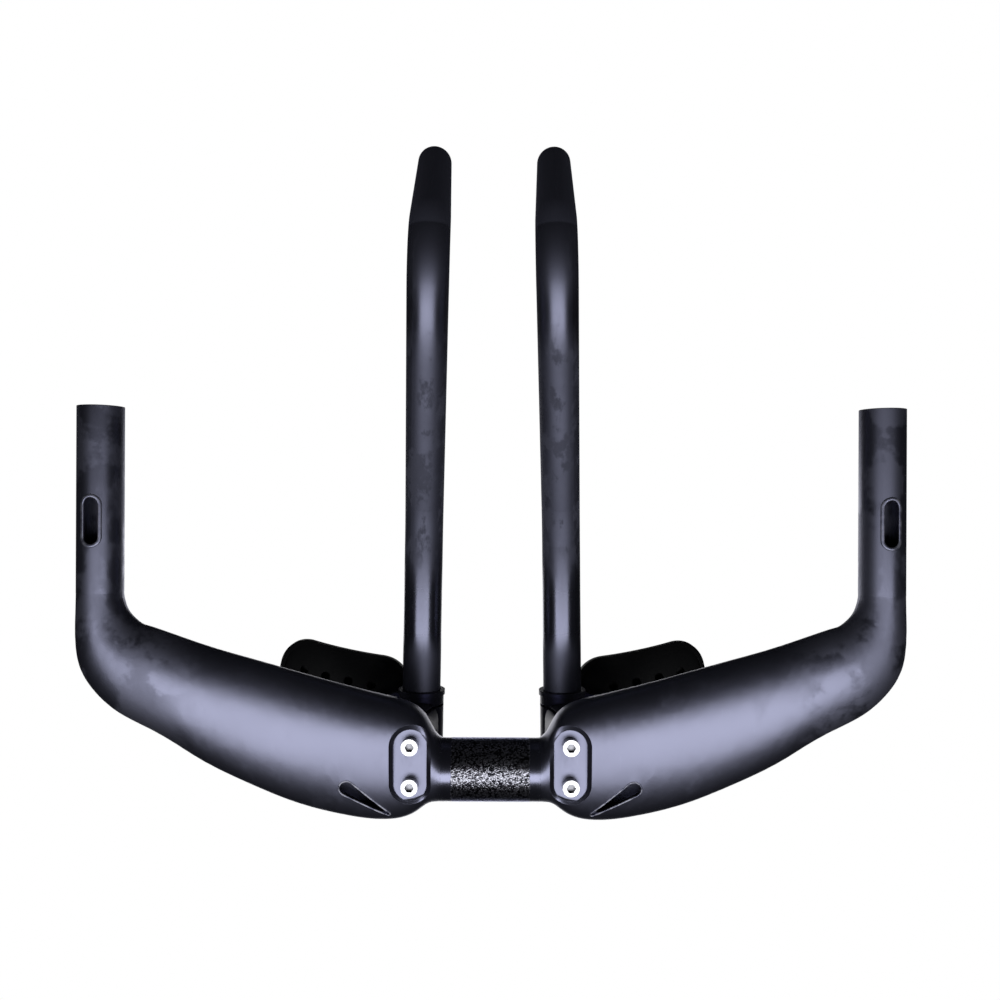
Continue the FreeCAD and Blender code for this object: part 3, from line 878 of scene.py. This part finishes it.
@dataclass
class BaseBar:
    """The moulded bar, with the lips of the cable openings under its wings and horns."""

    skin: SatinMoulding = field(default_factory=SatinMoulding)
    lip: RubbedHighlitLip = field(default_factory=RubbedHighlitLip)
    inlet: Outline = Outline(
        (71.8 * MM, -5.4 * MM), (51.4 * MM, -19.6 * MM), 3.5 * MM, 0.6 * MM, 0.42 * MM)
    outlet: Outline = Outline(
        (196.3 * MM, 120.0 * MM), (196.3 * MM, 136.0 * MM), 4.0 * MM, 4.0 * MM, 0.95 * MM)
    lip_offset: float = 0.35 * MM
    lip_height: float = 0.42 * MM
    lip_spacing: float = 0.7 * MM
    lip_segments: int = 10
    cast_from: float = -200.0 * MM

    def add_lip(self, work: bmesh.types.BMesh, skin: BVHTree, side: Side, opening: Outline) -> None:
        """Add the raised lip round one opening, half sunk in the skin.

        Args:
            work: The mesh that the lip is added to.
            skin: The bar's surface.
            side: The half of the bar.
            opening: The opening's outline.
        """
        upwards = Vector((0, 0, 1))
        hits = []
        for point in opening.loop(self.lip_offset, self.lip_spacing):
            below = Vector((side.value * point.x, point.y, self.cast_from))
            hits.append(skin.ray_cast(below, upwards)[:2])
        rings = []
        for step, (place, normal) in enumerate(hits):
            run = hits[(step + 1) % len(hits)][0] - hits[step - 1][0]
            sideways = run.cross(normal).normalized()
            ring = []
            for segment in range(self.lip_segments):
                turn = 2 * math.pi * segment / self.lip_segments
                away = opening.lip * math.cos(turn) * sideways + self.lip_height * math.sin(turn) * normal
                ring.append(work.verts.new(place + away))
            rings.append(ring)
        for step, ring in enumerate(rings):
            previous = rings[step - 1]
            for segment in range(self.lip_segments):
                work.faces.new((previous[segment - 1], previous[segment], ring[segment], ring[segment - 1]))

    def dress(self, nodes: dict[str, bpy.types.Object]) -> None:
        """Give the bar its finish and its openings their lips.

        Args:
            nodes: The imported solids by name.
        """
        bar = nodes["base_bar"]
        paint(bar, self.skin.build())
        corners = [bar.matrix_world @ vertex.co for vertex in bar.data.vertices]
        skin = BVHTree.FromPolygons(corners, [tuple(face.vertices) for face in bar.data.polygons])
        material = self.lip.build()
        for side in Side:
            work = bmesh.new()
            for opening in (self.inlet, self.outlet):
                self.add_lip(work, skin, side, opening)
            bmesh.ops.recalc_face_normals(work, faces=work.faces)
            lips = as_object(side.prefix + "cable_lips", work, material)
            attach(lips, "root")
        LOG.info("base bar dressed")


@dataclass
class ExtensionSet:
    """The bent extensions with their pedestals, spacers and brackets."""

    tube: SatinTube = field(default_factory=SatinTube)
    alloy: BlackAnodised = field(default_factory=BlackAnodised)
    alloy_pieces: Sequence[str] = ("extension_clamp", "riser_spacer", "armrest_bracket")

    def dress(self, nodes: dict[str, bpy.types.Object]) -> None:
        """Give both sides their finish.

        Args:
            nodes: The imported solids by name.
        """
        tube = self.tube.build()
        alloy = self.alloy.build()
        for side in Side:
            paint(nodes[side.prefix + "extension"], tube)
            for piece in self.alloy_pieces:
                paint(nodes[side.prefix + piece], alloy)
        LOG.info("extensions, pedestals and brackets dressed")


@dataclass
class Fasteners:
    """Bolts and nuts of both sides."""

    steel: BrightSteel = field(default_factory=BrightSteel)
    pieces: Sequence[str] = ("base_bolts", "pinch_bolt", "bracket_bolts", "cup_bolts", "cup_nuts")

    def dress(self, nodes: dict[str, bpy.types.Object]) -> None:
        """Give every fastener its finish.

        Args:
            nodes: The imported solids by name.
        """
        steel = self.steel.build()
        for side in Side:
            for piece in self.pieces:
                paint(nodes[side.prefix + piece], steel)
        LOG.info("fasteners dressed")


@dataclass
class ArmRest:
    """One arm rest: the moulded cup, and a padded, sewn pad that lies in it.

    top is the cover's height over the trough, and wall and edge are the height and depth of its rounded side.
    seam_profile gives the distance beside the seam and the share of its depth there.
    """

    side: Side
    centre_x: float = 99.6 * MM
    toe_in: float = 12.0
    trough_height: float = 154.0 * MM
    trough_radius: float = 63.6 * MM
    half_width: float = 37.2 * MM
    front: float = 43.4 * MM
    rear: float = 40.2 * MM
    corner: float = 15.4 * MM
    top: float = 7.74 * MM
    wall: float = 7.396 * MM
    edge: float = 1.87 * MM
    edge_steps: int = 8
    under_insets: Sequence[float] = (14 * MM, 6 * MM, 1.53 * MM)
    seam_inset: float = 6.5 * MM
    seam_depth: float = 0.9 * MM
    seam_profile: Sequence[tuple[float, float]] = (
        (-2.6 * MM, 0.0), (-1.0 * MM, 0.35), (0.0, 1.0), (1.0 * MM, 0.35), (2.6 * MM, 0.0))
    crown_insets: Sequence[float] = (13 * MM, 17 * MM, 21 * MM, 25 * MM, 29 * MM, 33 * MM)
    crown: float = 1.5 * MM
    outline_steps: int = 14
    smallest_corner: float = 2 * MM
    weld: float = 0.02 * MM
    stitch_length: float = 2.6 * MM
    stitch_pitch: float = 4.2 * MM
    stitch_radius: float = 0.32 * MM
    stitch_lift: float = 0.192 * MM
    stitch_segments: int = 8
    stitch_rings: int = 6

    def at(self, across: float, along: float, height: float) -> Vector:
        """Return the point over a place in the cup.

        Args:
            across: The distance across the trough, seen from above.
            along: The distance along the trough.
            height: The height over the trough's floor, square to it.

        Returns:
            The point in the part's frame.
        """
        tilt = math.asin(across / self.trough_radius)
        radius = self.trough_radius - height
        plan = radius * math.sin(tilt)
        toe = math.radians(self.toe_in)
        x = self.centre_x + plan * math.cos(toe) - along * math.sin(toe)
        y = plan * math.sin(toe) + along * math.cos(toe)
        return Vector((self.side.value * x, y, self.trough_height - radius * math.cos(tilt)))

    def outline(self, inset: float) -> list[tuple[float, float]]:
        """Return the pad's rounded outline, seen from above.

        Args:
            inset: How far it is drawn in.

        Returns:
            Points as across and along, counter-clockwise.
        """
        corner = max(self.corner - inset, self.smallest_corner)
        half = self.half_width - inset - corner
        front = self.front - inset - corner
        rear = self.rear - inset - corner
        points = []
        for quarter, (x, y) in enumerate(((half, front), (-half, front), (-half, -rear), (half, -rear))):
            for step in range(self.outline_steps + 1):
                turn = (quarter + step / self.outline_steps) * math.pi / 2
                points.append((x + corner * math.cos(turn), y + corner * math.sin(turn)))
        return points

    def profile(self) -> list[tuple[float, float]]:
        """Return inset and height of each ring, from the pad's underside round its edge to its crown."""
        rings = [(inset, 0.0) for inset in self.under_insets]
        for step in range(1, self.edge_steps):
            turn = step / self.edge_steps * math.pi
            rings.append((self.edge * (1 - math.sin(turn)), self.wall * (1 - math.cos(turn)) / 2))
        for beside, share in self.seam_profile:
            rings.append((self.seam_inset + beside, self.top - self.seam_depth * share))
        rings.extend((inset, self.top) for inset in self.crown_insets)
        return rings

    def swell(self, across: float, along: float) -> float:
        """Return how far the filling lifts the cover at a place.

        Args:
            across: The distance across the trough.
            along: The distance along the trough.

        Returns:
            The lift, which is nothing at the seam and outside it.
        """
        half = self.half_width - self.seam_inset
        middle = (self.front - self.rear) / 2
        reach = (self.front + self.rear) / 2 - self.seam_inset
        sideways = max(0.0, 1 - (across / half) ** 2)
        lengthways = max(0.0, 1 - ((along - middle) / reach) ** 2)
        return self.crown * math.sqrt(sideways * lengthways)

    def build_pad(self, cover: bpy.types.Material) -> bpy.types.Object:
        """Build the padded piece.

        Args:
            cover: The cover's material.

        Returns:
            The pad.
        """
        work = bmesh.new()
        rings = []
        for inset, height in self.profile():
            filled = inset > self.seam_inset + MM
            ring = []
            for across, along in self.outline(inset):
                lift = self.swell(across, along) if filled else 0.0
                ring.append(work.verts.new(self.at(across, along, height + lift)))
            rings.append(ring)
        for lower, upper in zip(rings, rings[1:]):
            for step in range(len(lower)):
                after = (step + 1) % len(lower)
                work.faces.new((lower[step], lower[after], upper[after], upper[step]))
        work.faces.new(reversed(rings[0]))
        work.faces.new(rings[-1])
        bmesh.ops.remove_doubles(work, verts=work.verts, dist=self.weld)
        bmesh.ops.recalc_face_normals(work, faces=work.faces)
        pad = as_object(self.side.prefix + "soft_pad", work, cover)
        smooth = pad.modifiers.new("smooth", "SUBSURF")
        smooth.levels = 1
        smooth.render_levels = 1
        return pad

    def build_stitches(self, thread: bpy.types.Material) -> bpy.types.Object:
        """Build the sewn stitches that lie in the pad's seam.

        Args:
            thread: The thread's material.

        Returns:
            All stitches as one piece.
        """
        height = self.top - self.seam_depth + self.stitch_lift
        line = [self.at(x, y, height) for x, y in self.outline(self.seam_inset)]
        line.append(line[0])
        work = bmesh.new()
        for start, end in dashes(line, self.stitch_length, self.stitch_pitch):
            run = end - start
            turn = run.to_track_quat("Z", "Y").to_matrix().to_4x4()
            grow = Matrix.Diagonal((self.stitch_radius, self.stitch_radius, run.length / 2, 1.0))
            place = Matrix.Translation((start + end) / 2) @ turn @ grow
            bmesh.ops.create_uvsphere(
                work, u_segments=self.stitch_segments, v_segments=self.stitch_rings, radius=1.0, matrix=place)
        return as_object(self.side.prefix + "pad_stitches", work, thread)

    def dress(self, nodes: dict[str, bpy.types.Object], plastic: bpy.types.Material,
              cover: bpy.types.Material, thread: bpy.types.Material) -> None:
        """Give the cup its finish and lay the sewn pad in it.

        Args:
            nodes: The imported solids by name.
            plastic: The cup's material.
            cover: The pad cover's material.
            thread: The seam's material.
        """
        paint(nodes[self.side.prefix + "armrest_cup"], plastic)
        pad = self.build_pad(cover)
        stitches = self.build_stitches(thread)
        for piece in (pad, stitches):
            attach(piece, "root")
        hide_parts(self.side.prefix + "arm_pad")
        LOG.info("%s arm rest dressed", self.side.name.lower())


def dashes(line: Sequence[Vector], length: float, pitch: float) -> list[tuple[Vector, Vector]]:
    """Cut a line of points into evenly spaced dashes.

    Args:
        line: The points in order.
        length: Each dash's length.
        pitch: The distance from one dash's start to the next one's.

    Returns:
        The start and end of every dash.
    """
    reach = [0.0]
    for near, far in zip(line, line[1:]):
        reach.append(reach[-1] + (far - near).length)

    def at(distance: float) -> Vector:
        """Return the point at a distance along the line."""
        for step in range(len(line) - 1):
            if distance <= reach[step + 1] and reach[step + 1] > reach[step]:
                share = (distance - reach[step]) / (reach[step + 1] - reach[step])
                return line[step].lerp(line[step + 1], share)
        return line[-1]

    count = int(reach[-1] / pitch)
    spacing = reach[-1] / count
    return [(at(step * spacing), at(step * spacing + length)) for step in range(count)]


def as_object(name: str, work: bmesh.types.BMesh, material: bpy.types.Material) -> bpy.types.Object:
    """Turn a finished mesh into a smooth object in the scene.

    Args:
        name: The object's name.
        work: The mesh, which is freed.
        material: Its material.

    Returns:
        The new object.
    """
    mesh = bpy.data.meshes.new(name)
    work.to_mesh(mesh)
    work.free()
    mesh.polygons.foreach_set("use_smooth", [True] * len(mesh.polygons))
    mesh.materials.append(material)
    piece = bpy.data.objects.new(name, mesh)
    bpy.context.scene.collection.objects.link(piece)
    return piece


def paint(node: bpy.types.Object, material: bpy.types.Material) -> None:
    """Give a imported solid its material.

    Args:
        node: The solid.
        material: The material for all of its faces.
    """
    if not node.material_slots:
        node.data.materials.append(material)
    for slot in node.material_slots:
        slot.material = material


def main() -> None:
    """Build the studio, dress every solid and lay the pads."""
    logging.basicConfig(level=logging.INFO, format="%(name)s: %(message)s")
    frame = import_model()
    nodes = frame["nodes"]
    Studio().build()
    BaseBar().dress(nodes)
    ExtensionSet().dress(nodes)
    Fasteners().dress(nodes)
    plastic = GrainedPlastic().build()
    cover = KnittedCover().build()
    thread = SewingThread().build()
    for side in Side:
        ArmRest(side).dress(nodes, plastic, cover, thread)


if __name__ == "__main__":
    main()
